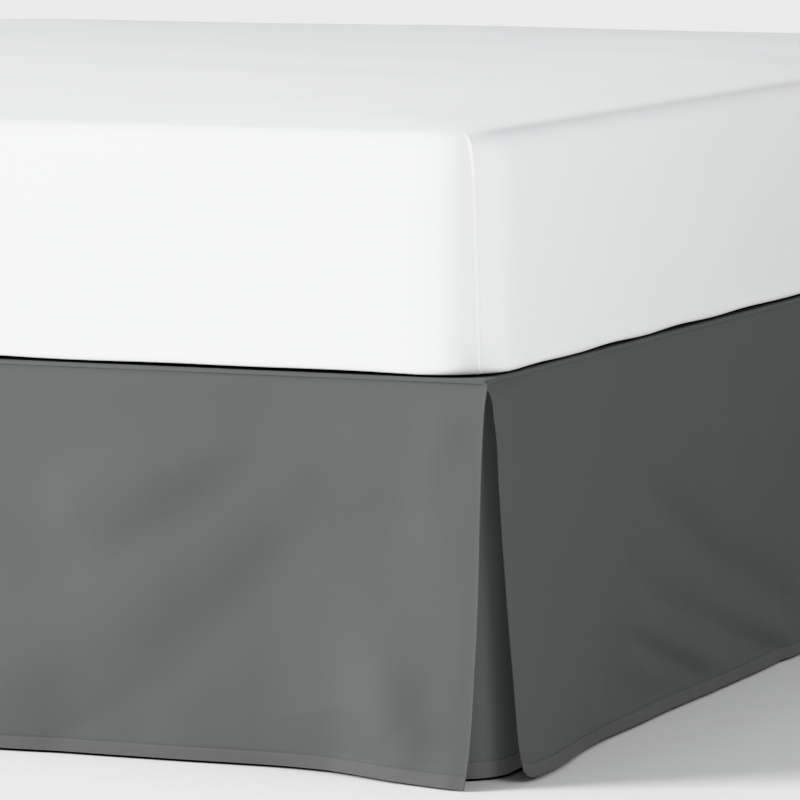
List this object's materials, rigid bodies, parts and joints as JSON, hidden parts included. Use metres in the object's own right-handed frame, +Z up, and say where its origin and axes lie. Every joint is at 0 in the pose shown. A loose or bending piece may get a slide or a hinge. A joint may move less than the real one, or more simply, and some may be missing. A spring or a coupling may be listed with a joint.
{
  "type": "bed skirt on a bed",
  "caption": "Dark grey tailored bed skirt with split corners, hanging from under the mattress of a bed on a foundation and a plain frame.",
  "frame": {"origin": "centre of the bed's footprint, on the floor", "axes": "+Z up; the bed's length lies along Y with its foot end towards -Y; +X is the bed's right-hand side seen from its foot end"},
  "size_m": [1.6158, 2.0904, 0.6303],
  "materials": {
    "skirt_cloth": "matte brushed microfibre",
    "cover_cloth": "smooth white cotton",
    "foundation_cloth": "plain woven ticking",
    "frame_steel": "satin powder coat"
  },
  "bodies": {
    "root": {"deck": "skirt_cloth", "foot_panel": "skirt_cloth", "side_panel_right": "skirt_cloth", "side_panel_left": "skirt_cloth", "corner_insert_right": "skirt_cloth", "corner_insert_left": "skirt_cloth", "mattress": "cover_cloth", "foundation": "foundation_cloth", "rail_left": "frame_steel", "rail_right": "frame_steel", "crossbar_foot": "frame_steel", "crossbar_middle": "frame_steel", "crossbar_head": "frame_steel", "leg_centre": "frame_steel", "leg_foot_right": "frame_steel", "leg_foot_left": "frame_steel", "leg_middle_right": "frame_steel", "leg_middle_left": "frame_steel", "leg_head_right": "frame_steel", "leg_head_left": "frame_steel"}
  },
  "joints": []
}
